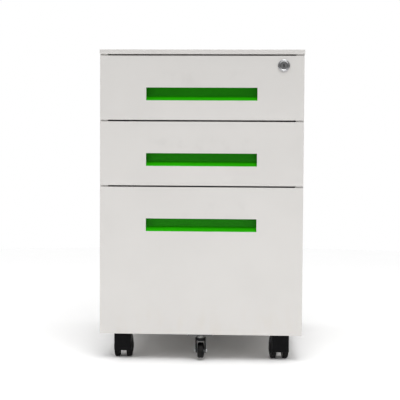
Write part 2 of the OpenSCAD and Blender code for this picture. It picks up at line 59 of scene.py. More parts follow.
import bmesh
import bpy
from bpy.props import FloatProperty, FloatVectorProperty, IntProperty, PointerProperty
from bpy.types import Operator, Panel, PropertyGroup
from mathutils import Matrix, Vector

BODY_OF = {node: body for body, nodes in frame["record"]["behaviour"]["bodies"].items() for node in nodes}
JOINTS = {joint["name"]: joint for joint in frame["joints"]}
DRAWERS = ("upper_drawer", "middle_drawer", "file_drawer")
SLIDE_ROWS = ("upper", "middle", "file")
CASTERS = ("front_left", "front_right", "rear_left", "rear_right")
SIDES = {"left": -1, "right": 1}
MERGE = 1e-6  # distance at which a CAD mesh's loose corners are one point
EDGE_ANGLE = math.radians(25)  # least bend that counts as an edge and is rounded
SMOOTH_ANGLE = math.radians(40)  # greatest bend that a turned surface is smoothed over
TIP_PLATE = 0.0025  # thickness of the tip caster's plate


# ---------------------------------------------------------------- settings


class PaintSettings(PropertyGroup):
    """The powder coat on the body, the drawer fronts and the trays, and the folds under it."""

    colour: FloatVectorProperty(
        name="Colour", description="Colour of the powder coat",
        subtype="COLOR", size=3, min=0, max=1, default=(0.616, 0.6, 0.581))
    roughness: FloatProperty(
        name="Roughness", description="Roughness of the powder coat",
        subtype="FACTOR", min=0, max=1, default=0.46)
    peel_size: FloatProperty(
        name="Peel size", description="Width of the paint's orange-peel waves",
        unit="LENGTH", min=0.0003, default=0.0016)
    peel_depth: FloatProperty(
        name="Peel depth", description="Height of the paint's orange-peel waves",
        unit="LENGTH", min=0, default=0.00003)
    fold_radius: FloatProperty(
        name="Fold radius", description="Outer radius of a fold in the sheet steel",
        unit="LENGTH", min=0.0001, default=0.00075)
    edge_radius: FloatProperty(
        name="Edge radius", description="Rounding of a cut and painted sheet edge",
        unit="LENGTH", min=0.00005, default=0.0002)


class PlasticSettings(PropertyGroup):
    """The moulded plastics of the pulls and the casters."""

    pull_colour: FloatVectorProperty(
        name="Pull colour", description="Colour of the recessed pulls",
        subtype="COLOR", size=3, min=0, max=1, default=(0.02, 0.41, 0.001))
    caster_colour: FloatVectorProperty(
        name="Caster colour", description="Colour of the casters' nylon",
        subtype="COLOR", size=3, min=0, max=1, default=(0.0035, 0.0035, 0.004))
    grain_size: FloatProperty(
        name="Grain size", description="Width of the moulds' etched grain",
        unit="LENGTH", min=0.0001, default=0.0005)
    pull_radius: FloatProperty(
        name="Pull edge radius", description="Rounding of the pulls' edges",
        unit="LENGTH", min=0.0001, default=0.0006)
    hood_radius: FloatProperty(
        name="Hood edge radius", description="Rounding of the caster hoods' edges",
        unit="LENGTH", min=0.0001, default=0.001)


class MetalSettings(PropertyGroup):
    """The plated metal of the slides, the lock and the caster hardware."""

    zinc_colour: FloatVectorProperty(
        name="Zinc colour", description="Colour of the zinc plating",
        subtype="COLOR", size=3, min=0, max=1, default=(0.62, 0.63, 0.64))
    chrome_colour: FloatVectorProperty(
        name="Chrome colour", description="Colour of the lock's chrome plating",
        subtype="COLOR", size=3, min=0, max=1, default=(0.52, 0.52, 0.53))
    slide_steel: FloatProperty(
        name="Slide steel", description="Sheet thickness of the slide members",
        unit="LENGTH", min=0.0005, default=0.0012)
    edge_radius: FloatProperty(
        name="Edge radius", description="Rounding of a plated part's edges",
        unit="LENGTH", min=0.00005, default=0.0003)


class BallSettings(PropertyGroup):
    """The steel balls in the slides' races."""

    count: IntProperty(name="Balls", description="Balls in one race", min=2, max=40, default=12)
    pitch: FloatProperty(
        name="Pitch", description="Distance between neighbouring balls",
        unit="LENGTH", min=0.006, default=0.0135)
    play: FloatProperty(
        name="Play", description="Free space across a race, round its balls",
        unit="LENGTH", min=0, default=0.0002)
    cage_width: FloatProperty(
        name="Cage width", description="Width of the strip that spaces the balls",
        unit="LENGTH", min=0.001, default=0.0055)
    cage_thickness: FloatProperty(
        name="Cage thickness", description="Thickness of the strip that spaces the balls",
        unit="LENGTH", min=0.0002, default=0.0008)


class CasterSettings(PropertyGroup):
    """The turned shape of the wheels."""

    segments: IntProperty(
        name="Segments", description="Facets round a wheel, in multiples of four",
        min=32, max=160, step=4, default=96)
    seam_depth: FloatProperty(
        name="Seam depth", description="Depth of the mould seam round the tread",
        unit="LENGTH", min=0, default=0.0002)
    ring_depth: FloatProperty(
        name="Ring depth", description="Depth of the ring groove in a wheel's face",
        unit="LENGTH", min=0, default=0.0007)


class StageSettings(PropertyGroup):
    """The camera, the floor and the studio light."""

    camera_place: FloatVectorProperty(
        name="Camera place", description="Position of the camera",
        subtype="TRANSLATION", unit="LENGTH", size=3, default=(0.096, -2.3135, 0.410))
    camera_yaw: FloatProperty(
        name="Yaw", description="Turn of the camera to the left",
        unit="ROTATION", default=math.radians(2.72))
    camera_pitch: FloatProperty(
        name="Pitch", description="Tilt of the camera above the horizon",
        unit="ROTATION", default=math.radians(-2.69))
    camera_roll: FloatProperty(
        name="Roll", description="Roll of the camera about its view",
        unit="ROTATION", default=math.radians(-0.33))
    lens: FloatProperty(name="Lens", description="Focal length in millimetres", min=10, default=97.2)
    backdrop_strength: FloatProperty(
        name="Backdrop strength", description="Brightness of the backdrop", min=0, default=1.0)
    ceiling_strength: FloatProperty(
        name="Ceiling strength", description="Light from the ceiling", min=0, default=1.35)
    wall_strength: FloatProperty(
        name="Wall strength", description="Light from the walls all round", min=0, default=0.26)
    key_power: FloatProperty(
        name="Key power", description="Power of the soft light", unit="POWER", min=0, default=8.5)
    key_size: FloatProperty(
        name="Key size", description="Width of the soft light", unit="LENGTH", min=0.1, default=1.3)
    key_spread: FloatProperty(
        name="Key spread", description="Angle that the soft light covers", unit="ROTATION",
        default=math.radians(80))
    key_place: FloatVectorProperty(
        name="Key place", description="Position of the soft light",
        subtype="TRANSLATION", unit="LENGTH", size=3, default=(0.3, -1.9, 2.3))
    key_aim: FloatVectorProperty(
        name="Key aim", description="Point that the soft light faces",
        subtype="TRANSLATION", unit="LENGTH", size=3, default=(0.0, -1.0, 0.0))
    floor_radius: FloatProperty(
        name="Floor radius", description="Radius of the floor", unit="LENGTH", min=1, default=2.2)
    floor_colour: FloatVectorProperty(
        name="Floor colour", description="Colour of the studio floor",
        subtype="COLOR", size=3, min=0, max=1, default=(0.985, 0.985, 0.985))


# ---------------------------------------------------------------- node trees


class Value:
    """A socket in a node tree. Arithmetic on it adds Math nodes."""

    def __init__(self, owner, socket):
        self.owner = owner
        self.socket = socket

    def __add__(self, other):
        return self.owner.maths("ADD", self, other)

    def __sub__(self, other):
        return self.owner.maths("SUBTRACT", self, other)

    def __rsub__(self, other):
        return self.owner.maths("SUBTRACT", other, self)

    def __mul__(self, other):
        return self.owner.maths("MULTIPLY", self, other)

    def __abs__(self):
        return self.owner.maths("ABSOLUTE", self)

    __radd__ = __add__
    __rmul__ = __mul__

    def rise(self, low, high):
        """0 up to low, 1 from high on, and a smooth step between them."""
        sockets = {"Value": self, "From Min": low, "From Max": high}
        return self.owner.node("ShaderNodeMapRange", sockets, interpolation_type="SMOOTHSTEP")


class NodeTree:
    """Fills one shader or geometry tree with nodes."""

    def __init__(self, tree):
        self.tree = tree
        self.tree.nodes.clear()

    def add(self, kind, sockets=None, **settings):
        """Adds a node, sets it up, and fills its sockets."""
        made = self.tree.nodes.new(kind)
        for key, value in settings.items():
            setattr(made, key, value)
        for key, value in (sockets or {}).items():
            self.fill(made.inputs[key], value)
        return made

    def fill(self, socket, value):
        """Links a value to a socket, or sets the socket to a constant."""
        if isinstance(value, Value):
            self.tree.links.new(value.socket, socket)
        else:
            socket.default_value = value

    def node(self, kind, sockets=None, output=0, **settings):
        """Adds a node and returns one of its outputs."""
        return Value(self, self.add(kind, sockets, **settings).outputs[output])

    def maths(self, operation, *values):
        """A Math node on one or two values."""
        return self.node("ShaderNodeMath", dict(enumerate(values)), operation=operation)


class Finish(NodeTree):
    """A procedural material: one Principled surface and the nodes that feed it."""

    def __init__(self, name, colour, roughness, metallic=0.0):
        self.material = bpy.data.materials.new(name)
        self.material.use_nodes = True
        self.material.diffuse_color = (*colour, 1.0)
        super().__init__(self.material.node_tree)
        self.surface = self.add("ShaderNodeBsdfPrincipled")
        self.add("ShaderNodeOutputMaterial", {"Surface": Value(self, self.surface.outputs[0])})
        self.feed("Base Color", (*colour, 1.0))
        self.feed("Roughness", roughness)
        self.feed("Metallic", metallic)
        self.place = self.node("ShaderNodeTexCoord", output="Object")

    def feed(self, socket, value):
        """Sets a socket of the surface to a constant, or links a value to it."""
        self.fill(self.surface.inputs[socket], value)

    def axes(self):
        """The three object coordinates as values."""
        split = self.add("ShaderNodeSeparateXYZ", {0: self.place})
        return [Value(self, socket) for socket in split.outputs]

    def stretched(self, scale):
        """The object coordinates, scaled along each axis."""
        return self.node("ShaderNodeMapping", {"Vector": self.place, "Scale": scale})

    def noise(self, scale, detail=2.0, stretch=None):
        """A noise pattern with that many waves per metre, drawn out where stretch is below 1."""
        place = self.stretched(stretch) if stretch else self.place
        return self.node("ShaderNodeTexNoise", {"Vector": place, "Scale": scale, "Detail": detail})

    def cells(self, scale):
        """The distance to the nearest of scattered points, with that many per metre."""
        return self.node("ShaderNodeTexVoronoi", {"Vector": self.place, "Scale": scale})

    def blend(self, mask, first, second):
        """A colour that goes from first to second as mask goes from 0 to 1."""
        first_colour, second_colour, mixed_colour = 6, 7, 2  # where a Mix node keeps its colour sockets
        sockets = {"Factor": mask, first_colour: rgba(first), second_colour: rgba(second)}
        return self.node("ShaderNodeMix", sockets, mixed_colour, data_type="RGBA")

    def vary(self, mask, colour, low, high):
        """A colour whose lightness goes from low to high as mask goes from 0 to 1."""
        return self.blend(mask, shade(colour, low), shade(colour, high))

    def emboss(self, height, depth):
        """Raises the surface by depth where height is 1."""
        self.feed("Normal", self.node("ShaderNodeBump", {"Height": height, "Distance": depth}))


def rgba(colour):
    """A colour with its alpha, or a linked colour as it is."""
    return colour if isinstance(colour, Value) else (*colour, 1.0)


def shade(colour, factor):
    """A colour made lighter or darker."""
    return tuple(min(1.0, part * factor) for part in colour)


def finish(name):
    """Turns a material's builder into one that builds it under that name, on its first use only."""

    def wrap(build):
        def made():
            return bpy.data.materials.get(name) or build(name)

        return made

    return wrap


# ---------------------------------------------------------------- finishes


def paint_film(name, thin_with_highlight):
    """Powder coat with orange peel, faint clouding, finger marks above the pulls and floor dust."""
    settings = bpy.context.scene.pedestal_paint
    paint = Finish(name, settings.colour, settings.roughness)
    x, y, z = paint.axes()
    cloud = paint.noise(9.0, 3.0)
    peel = paint.noise(1 / settings.peel_size, 1.0)
    grain = paint.noise(4 / settings.peel_size, 2.0)
    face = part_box("upper_drawer_front")[0].y
    reach = 1 - abs(x).rise(0.06, 0.13)
    touched = 0.0
    for drawer in DRAWERS:
        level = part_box(f"{drawer}_handle")[1].z
        touched = touched + (1 - abs(z - level).rise(0.004, 0.022))
    marks = paint.noise(38.0, 4.0).rise(0.5, 0.68)
    touched = touched * reach * marks * (1 - y.rise(face + 0.01, face + 0.02))
    dust = (1 - z.rise(0.05, 0.13)) * paint.noise(55.0, 4.0, (1.0, 1.0, 0.35)).rise(0.45, 0.75)
    # Painted highlight: folds and cut edges are made 3% lighter.
    base = shade(settings.colour, 1.03 if thin_with_highlight else 1.0)
    tone = paint.vary(cloud.rise(0.3, 0.7), base, 0.985, 1.012)
    tone = paint.blend(touched * 0.5, tone, shade(base, 0.93))
    tone = paint.blend(dust * 0.35, tone, (0.60, 0.56, 0.50))
    paint.feed("Base Color", tone)
    matt = settings.roughness - (0.1 if thin_with_highlight else 0.0) + (grain - 0.5) * 0.12 + (cloud - 0.5) * 0.06
    paint.feed("Roughness", matt - touched * 0.14 + dust * 0.2)
    paint.emboss(peel * 0.7 + grain * 0.3, settings.peel_depth * (0.4 if thin_with_highlight else 1.0))
    return paint.material


@finish("Powder coat")
def powder_coat(name):
    """The body's paint."""
    return paint_film(name, thin_with_highlight=False)


@finish("Powder coat on edges")
def powder_coat_edge(name):
    """The paint on folds and cut edges, where it runs thin and smooth, with a painted highlight that makes it a
    little lighter.
    """
    return paint_film(name, thin_with_highlight=True)


def painted():
    """The paint of a sheet-steel piece: its faces' and its edges'."""
    return [powder_coat(), powder_coat_edge()]


@finish("Pull plastic")
def pull_plastic(name):
    """Satin green plastic with etched grain, flow lines, rubbing by fingers, and painted shade darkening the back
    of the cup.
    """
    settings = bpy.context.scene.pedestal_plastic
    base = settings.pull_colour
    plastic = Finish(name, base, 0.36)
    grain = plastic.cells(1 / settings.grain_size)
    flow = plastic.noise(26.0, 3.0, (0.3, 1.0, 1.0))
    patches = plastic.noise(30.0).rise(0.45, 0.65)
    rub = plastic.noise(700.0, 2.0, (0.03, 1.0, 1.0)).rise(0.6, 0.74) * patches
    low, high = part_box("upper_drawer_handle")
    # Painted shade: the colour darkens towards the back wall of the cup, where the recess lies in shade.
    recess_shade = plastic.axes()[1].rise((low.y + high.y) / 2, high.y - 0.0015)
    tone = plastic.vary(flow.rise(0.3, 0.7), base, 0.93, 1.05)
    tone = plastic.blend(recess_shade * 0.4, tone, shade(base, 0.2))
    plastic.feed("Base Color", plastic.blend(rub * 0.3, tone, shade(base, 1.25)))
    plastic.feed("Roughness", 0.32 + grain * 0.12 + rub * 0.15 + (flow - 0.5) * 0.08)
    plastic.feed("Specular IOR Level", 0.12)
    plastic.emboss(grain, 0.00004)
    return plastic.material


@finish("Caster nylon")
def caster_nylon(name):
    """Black nylon with etched grain, pale scuffs, and grey dust where a wheel's tread has rolled."""
    settings = bpy.context.scene.pedestal_plastic
    base = settings.caster_colour
    nylon = Finish(name, base, 0.42)
    grain = nylon.noise(1 / settings.grain_size, 2.0)
    scuff = nylon.noise(160.0, 4.0, (1.0, 0.3, 1.0)).rise(0.58, 0.72)
    rolled = nylon.node(
        "ShaderNodeAttribute", None, "Fac", attribute_type="GEOMETRY", attribute_name="rolled")
    dust = rolled * nylon.noise(240.0, 4.0).rise(0.35, 0.7)
    tone = nylon.vary(scuff * 0.25, base, 1.0, 4.0)
    nylon.feed("Base Color", nylon.blend(dust * 0.5, tone, (0.035, 0.033, 0.03)))
    nylon.feed("Roughness", 0.36 + grain * 0.12 + scuff * 0.12 + dust * 0.3)
    nylon.feed("Specular IOR Level", 0.09)
    nylon.emboss(grain, 0.00003)
    return nylon.material


def zinc_film(name, stretch):
    """Bright zinc plating, with streaks drawn out along stretch and a mottled, faintly tinted film."""
    base = bpy.context.scene.pedestal_metal.zinc_colour
    zinc = Finish(name, base, 0.32, metallic=1.0)
    streak = zinc.noise(900.0, 3.0, stretch)
    mottle = zinc.noise(70.0, 4.0)
    bloom = zinc.noise(24.0, 2.0).rise(0.52, 0.72)
    tone = zinc.vary(mottle.rise(0.3, 0.7), base, 0.86, 1.08)
    zinc.feed("Base Color", zinc.blend(bloom * 0.35, tone, (0.60, 0.61, 0.55)))
    zinc.feed("Roughness", 0.24 + streak * 0.14 + mottle * 0.12)
    zinc.emboss(streak, 0.00001)
    return zinc.material


@finish("Rolled zinc")
def slide_zinc(name):
    """Zinc plating on rolled slide steel, streaked along the slide."""
    return zinc_film(name, (1.0, 0.02, 1.0))


@finish("Pressed zinc")
def bar_zinc(name):
    """Zinc plating on pressed parts, streaked up and down."""
    return zinc_film(name, (1.0, 1.0, 0.04))


@finish("Lock chrome")
def lock_chrome(name):
    """Polished chrome with hair scratches from the key and a faint haze."""
    base = bpy.context.scene.pedestal_metal.chrome_colour
    chrome = Finish(name, base, 0.08, metallic=1.0)
    scratch = chrome.noise(2600.0, 2.0, (1.0, 1.0, 0.06)).rise(0.62, 0.7)
    haze = chrome.noise(220.0, 3.0)
    chrome.feed("Base Color", chrome.vary(haze, base, 0.93, 1.0))
    chrome.feed("Roughness", 0.06 + haze * 0.06 + scratch * 0.16)
    chrome.emboss(scratch, 0.000004)
    return chrome.material


def dull_steel(name, tone, metallic):
    """Passivated steel with a mottled, faintly oily film."""
    steel = Finish(name, tone, 0.5, metallic)
    film = steel.noise(180.0, 4.0)
    steel.feed("Base Color", steel.vary(film.rise(0.35, 0.7), tone, 0.7, 1.6))
    steel.feed("Roughness", 0.4 + film * 0.2)
    steel.feed("Specular IOR Level", 0.15)
    steel.emboss(film, 0.00001)
    return steel.material


@finish("Black zinc and painted shade")
def black_zinc_and_shade(name):
    """Black-passivated steel, also used as painted shade in the lock's keyway and on the tip caster's kingpin."""
    return dull_steel(name, (0.008, 0.008, 0.009), metallic=0.1)


@finish("Grey steel with painted shade")
def dull_shaded_steel(name):
    """Dull dark grey steel, as on a swivel's race: partly the race's duller finish, partly painted shade under the
    cabinet.
    """
    return dull_steel(name, (0.16, 0.16, 0.155), metallic=1.0)


@finish("Bumper rubber")
def bumper_rubber(name):
    """Dull dark rubber with bloom."""
    rubber = Finish(name, (0.03, 0.03, 0.032), 0.75)
    bloom = rubber.noise(300.0, 3.0)
    rubber.feed("Base Color", rubber.blend(bloom.rise(0.4, 0.8), (0.025, 0.025, 0.027), (0.06, 0.06, 0.06)))
    rubber.feed("Roughness", 0.65 + bloom * 0.2)
    rubber.emboss(bloom, 0.00002)
    return rubber.material


# ---------------------------------------------------------------- mesh helpers


def new_object(name, mesh):
    """An object at the origin, linked to the scene."""
    made = bpy.data.objects.new(name, mesh)
    bpy.context.scene.collection.objects.link(made)
    return made


def merged_copy(node, name):
    """A copy of a CAD node with its corners merged and each flat face made whole."""
    mesh = bpy.data.meshes.new(name)
    shape = bmesh.new()
    shape.from_mesh(frame["nodes"][node].data)
    bmesh.ops.remove_doubles(shape, verts=shape.verts, dist=MERGE)
    bmesh.ops.dissolve_limit(shape, angle_limit=math.radians(0.5), verts=shape.verts, edges=shape.edges)
    for face in shape.faces:
        face.smooth = True
        face.material_index = 0
    shape.to_mesh(mesh)
    shape.free()
    return new_object(name, mesh)


def mark_edges(piece, node, share):
    """Gives full bevel weight to edges that lie on two sides of the node's box, and share to the rest."""
    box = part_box(node)
    shape = bmesh.new()
    shape.from_mesh(piece.data)
    weight = shape.edges.layers.float.new("bevel_weight_edge")
    for edge in shape.edges:
        if not edge.is_manifold or edge.calc_face_angle() < EDGE_ANGLE:
            continue
        middle = (edge.verts[0].co + edge.verts[1].co) / 2
        touching = sum(abs(middle[axis] - side[axis]) < MERGE * 10 for axis in range(3) for side in box)
        edge[weight] = 1.0 if touching >= 2 else share
    shape.to_mesh(piece.data)
    shape.free()


def round_edges(piece, radius, segments=2, weighted=False):
    """Rounds a piece's edges with a live Bevel modifier, and shades its flat faces flat."""
    bevel = piece.modifiers.new("Rounded edges", "BEVEL")
    bevel.width = radius
    bevel.segments = segments
    bevel.limit_method = "WEIGHT" if weighted else "ANGLE"
    bevel.angle_limit = EDGE_ANGLE
    bevel.use_clamp_overlap = False
    bevel.material = len(piece.data.materials) - 1
    piece.modifiers.new("Flat faces", "WEIGHTED_NORMAL")


def refinish(piece, material, chosen):
    """Gives another material to the faces that chosen picks by their centre."""
    piece.data.materials.append(material)
    for face in piece.data.polygons:
        if chosen(face.center):
            face.material_index = len(piece.data.materials) - 1


def hand_over(piece, body, nodes=()):
    """Makes a finished piece ride on its body and stand for its CAD nodes."""
    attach(piece, body)
    if nodes:
        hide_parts(*nodes)


def stand_for(piece, node):
    """Makes a finished piece take the place of one CAD node."""
    hand_over(piece, BODY_OF[node], [node])


def finished_copy(node, materials, radius, edge_radius=None, segments=2):
    """A rounded copy of a CAD node that stands for it. Its last material goes on the rounded edges."""
    piece = merged_copy(node, f"{node}_finished")
    for material in materials:
        piece.data.materials.append(material)
    if edge_radius:
        mark_edges(piece, node, edge_radius / radius)
    round_edges(piece, radius, segments, weighted=bool(edge_radius))
    stand_for(piece, node)
    return piece


def turned(name, profile, segments, marks=()):
    """A mesh turned about Z from (radius, height) points, closed where the radius is 0.

    A list of radii repeats round its ring. Marks are the rings' "rolled" values.
    """
    shape = bmesh.new()
    rolled = shape.verts.layers.float.new("rolled")
    rings = []
    for (radius, height), mark in zip(profile, marks or [0.0] * len(profile)):
        radii = radius if isinstance(radius, list) else [radius]
        rings.append([])
        for step in range(1 if max(radii) < MERGE else segments):
            turn, reach = 2 * math.pi * step / segments, radii[step % len(radii)]
            rings[-1].append(shape.verts.new((reach * math.cos(turn), reach * math.sin(turn), height)))
            rings[-1][-1][rolled] = mark
    for below, above in zip(rings, rings[1:]):
        for step in range(segments):
            near, far = step, (step + 1) % segments
            corners = [below[near % len(below)], below[far % len(below)],
                       above[far % len(above)], above[near % len(above)]]
            corners = list(dict.fromkeys(corners))
            if len(corners) > 2:
                shape.faces.new(corners).smooth = True
    bmesh.ops.recalc_face_normals(shape, faces=shape.faces)
    mesh = bpy.data.meshes.new(name)
    shape.to_mesh(mesh)
    shape.free()
    mesh.set_sharp_from_angle(angle=SMOOTH_ANGLE)
    return mesh


def arc(centre, radius, start, end, count):
    """Points on an arc, with angles in degrees from the radius axis towards the height axis."""
    angles = [math.radians(start + (end - start) * step / count) for step in range(count + 1)]
    return [(centre[0] + radius * math.cos(a), centre[1] + radius * math.sin(a)) for a in angles]


def frame_along(point, axis):
    """A matrix that puts a turned mesh's Z along axis, starting at point."""
    return Matrix.Translation(point) @ Vector(axis).to_track_quat("Z", "Y").to_matrix().to_4x4()


def span_on(node, point, axis):
    """How far a node reaches along an axis through point, and its radius round it."""
    point, axis = Vector(point), Vector(axis).normalized()
    offsets = [vertex.co - point for vertex in frame["nodes"][node].data.vertices]
    along = [offset.dot(axis) for offset in offsets]
    radius = max((offset - axis * offset.dot(axis)).length for offset in offsets)
    return min(along), max(along), radius


# ---------------------------------------------------------------- geometry node helpers


def geometry_tree(name, inputs):
    """A Geometry Nodes tree with named inputs after its geometry."""
    group = bpy.data.node_groups.new(name, "GeometryNodeTree")
    group.interface.new_socket("Geometry", in_out="INPUT", socket_type="NodeSocketGeometry")
    for label, kind in inputs.items():
        group.interface.new_socket(label, in_out="INPUT", socket_type=kind)
    group.interface.new_socket("Geometry", in_out="OUTPUT", socket_type="NodeSocketGeometry")
    tree = NodeTree(group)
    source = tree.add("NodeGroupInput")
    values = {label: Value(tree, source.outputs[label]) for label in ("Geometry", *inputs)}
    return tree, values


def end_tree(tree, geometry):
    """Links the tree's last geometry to its output."""
    tree.add("NodeGroupOutput", {0: geometry})
    return tree.tree


def points_object(name, points, facings=None):
    """An object of loose points, with the direction that each one faces."""
    mesh = bpy.data.meshes.new(name)
    mesh.from_pydata([tuple(point) for point in points], [], [])
    if facings:
        facing = mesh.attributes.new("facing", "FLOAT_VECTOR", "POINT")
        facing.data.foreach_set("vector", [part for direction in facings for part in direction])
    return new_object(name, mesh)


def grown(piece, group, values):
    """Runs a Geometry Nodes tree on a piece and keeps the result as its plain mesh."""
    modifier = piece.modifiers.new(group.name, "NODES")
    modifier.node_group = group
    sockets = {item.name: item.identifier for item in group.interface.items_tree if item.in_out == "INPUT"}
    for label, value in values.items():
        modifier[sockets[label]] = value
    graph = bpy.context.evaluated_depsgraph_get()
    mesh = bpy.data.meshes.new_from_object(piece.evaluated_get(graph))
    piece.modifiers.clear()
    piece.data = mesh


def ball_race_tree():
    """Balls in a row from each point along Y, with the strip that spaces them."""
    name = "Ball race"
    if name in bpy.data.node_groups:
        return bpy.data.node_groups[name]
    tree, given = geometry_tree(name, {
        "Balls": "NodeSocketInt", "Pitch": "NodeSocketFloat", "Diameter": "NodeSocketFloat",
        "Cage width": "NodeSocketFloat", "Cage thickness": "NodeSocketFloat"})
    step = tree.node("ShaderNodeCombineXYZ", {"Y": given["Pitch"]})
    row = tree.node("GeometryNodeMeshLine", {"Count": given["Balls"], "Offset": step})
    ball = tree.node("GeometryNodeMeshIcoSphere", {"Radius": given["Diameter"] * 0.5, "Subdivisions": 3})
    smooth = tree.node("GeometryNodeSetShadeSmooth", {"Geometry": ball})
    balls = tree.node("GeometryNodeInstanceOnPoints", {"Points": row, "Instance": smooth})
    length = given["Balls"] * given["Pitch"]
    size = tree.node(
        "ShaderNodeCombineXYZ", {"X": given["Cage width"], "Y": length, "Z": given["Cage thickness"]})
    strip = tree.node("GeometryNodeMeshCube", {"Size": size})
    middle = tree.node("ShaderNodeCombineXYZ", {"Y": (length - given["Pitch"]) * 0.5})
    cage = tree.node("GeometryNodeTransform", {"Geometry": strip, "Translation": middle})
    both = tree.add("GeometryNodeJoinGeometry")
    for part, material in ((balls, lock_chrome()), (cage, slide_zinc())):
        single = tree.node("GeometryNodeGeometryToInstance", {0: part})
        placed = tree.node("GeometryNodeInstanceOnPoints", {"Points": given["Geometry"], "Instance": single})
        real = tree.node("GeometryNodeRealizeInstances", {"Geometry": placed})
        finished = tree.node("GeometryNodeSetMaterial", {"Geometry": real, "Material": material})
        tree.fill(both.inputs[0], finished)
    return end_tree(tree, Value(tree, both.outputs[0]))


def heads_tree():
    """A small head, such as a screw's or a rivet's, on each point, turned the way the point faces."""
    name = "Heads"
    if name in bpy.data.node_groups:
        return bpy.data.node_groups[name]
    tree, given = geometry_tree(name, {
        "Head": "NodeSocketObject", "Material": "NodeSocketMaterial", "Seed": "NodeSocketInt"})
    facing = tree.node("GeometryNodeInputNamedAttribute", {"Name": "facing"}, data_type="FLOAT_VECTOR")
    aligned = tree.node("FunctionNodeAlignRotationToVector", {"Vector": facing}, axis="Z")
    random_float = 1  # the output of a Random Value node that gives a float
    turn = tree.node("FunctionNodeRandomValue", {"Max": 2 * math.pi, "Seed": given["Seed"]}, random_float,
                     data_type="FLOAT")
    own = tree.node("ShaderNodeCombineXYZ", {"Z": turn})
    rotation = tree.node("FunctionNodeRotateRotation", {0: aligned, 1: own}, rotation_space="LOCAL")
    head = tree.node("GeometryNodeObjectInfo", {"Object": given["Head"]}, "Geometry")
    heads = tree.node("GeometryNodeInstanceOnPoints", {
        "Points": given["Geometry"], "Instance": head, "Rotation": rotation})
    real = tree.node("GeometryNodeRealizeInstances", {"Geometry": heads})
    return end_tree(tree, tree.node(
        "GeometryNodeSetMaterial", {"Geometry": real, "Material": given["Material"]}))


def place_heads(name, body, head, material, points, facings, seed):
    """Puts a head on each point and makes the row ride on its body."""
    row = points_object(name, points, facings)
    grown(row, heads_tree(), {"Head": head, "Material": material, "Seed": seed})
    hand_over(row, body)


def screw_head(radius, height):
    """A pan head with a cross recess, standing on Z = 0."""
    mouth = [radius * share for share in (0.52, 0.2, 0.17, 0.2)]  # four facets for each arm of the cross
    bottom = [radius * share for share in (0.42, 0.15, 0.12, 0.15)]
    profile = [(0.0, 0.0), (radius, 0.0), (radius, height * 0.45), (radius * 0.86, height * 0.82),
               (radius * 0.66, height), (mouth, height), (bottom, height * 0.3), (0.0, height * 0.3)]
    return new_object("screw_head", turned("screw_head", profile, 16))


def rivet_head(radius, height):
    """A domed blind-rivet head with its sunk mandrel hole, standing on Z = 0."""
    hole = radius * 0.32
    dome = [(out, height * (0.25 + 0.75 * up / radius)) for out, up in arc((0.0, 0.0), radius, 0, 72, 4)]
    profile = [(0.0, 0.0), (radius, 0.0), *dome, (hole, height * 0.97), (hole * 0.9, height * 0.55),
               (0.0, height * 0.5)]
    return new_object("rivet_head", turned("rivet_head", profile, 20))


def bumper_dome(radius, height):
    """A soft door bumper, flat underneath and rounded on top, standing on Z = 0."""
    bend = height * 0.8
    profile = [(0.0, 0.0), (radius, 0.0), *arc((radius - bend, height - bend), bend, 0, 90, 5), (0.0, height)]
    return new_object("bumper_dome", turned("bumper_dome", profile, 24))


# ---------------------------------------------------------------- operators


class PEDESTAL_OT_steel_body(Operator):
    """Rounds the folds and edges of the painted cabinet body"""

    bl_idname = "pedestal.steel_body"
    bl_label = "Steel body"

    def execute(self, context):
        paint = context.scene.pedestal_paint
        for node in ("top_panel", "left_side_panel", "right_side_panel", "base_panel", "top_rail"):
            finished_copy(node, painted(), paint.fold_radius, paint.edge_radius, 3)
        for node in ("back_panel", "rear_uprights"):
            finished_copy(node, painted(), paint.edge_radius)
        return {"FINISHED"}


class PEDESTAL_OT_drawer_fronts(Operator):
    """Rounds the folded steel fronts of the three drawers"""

    bl_idname = "pedestal.drawer_fronts"
    bl_label = "Drawer fronts"

    def execute(self, context):
        paint = context.scene.pedestal_paint
        for drawer in DRAWERS:
            finished_copy(f"{drawer}_front", painted(), paint.fold_radius, paint.edge_radius, 3)
        return {"FINISHED"}


class PEDESTAL_OT_trays(Operator):
    """Finishes the trays and the hanging-file strips"""

    bl_idname = "pedestal.trays"
    bl_label = "Drawer trays"

    def execute(self, context):
        paint = context.scene.pedestal_paint
        for drawer in DRAWERS:
            finished_copy(f"{drawer}_tray", painted(), paint.edge_radius)
        finished_copy("file_hanger_strips", [slide_zinc()], context.scene.pedestal_metal.edge_radius)
        return {"FINISHED"}


class PEDESTAL_OT_pulls(Operator):
    """Moulds the green finger cups"""

    bl_idname = "pedestal.pulls"
    bl_label = "Recessed pulls"

    def execute(self, context):
        radius = context.scene.pedestal_plastic.pull_radius
        for drawer in DRAWERS:
            finished_copy(f"{drawer}_handle", [pull_plastic()], radius, None, 3)
        return {"FINISHED"}


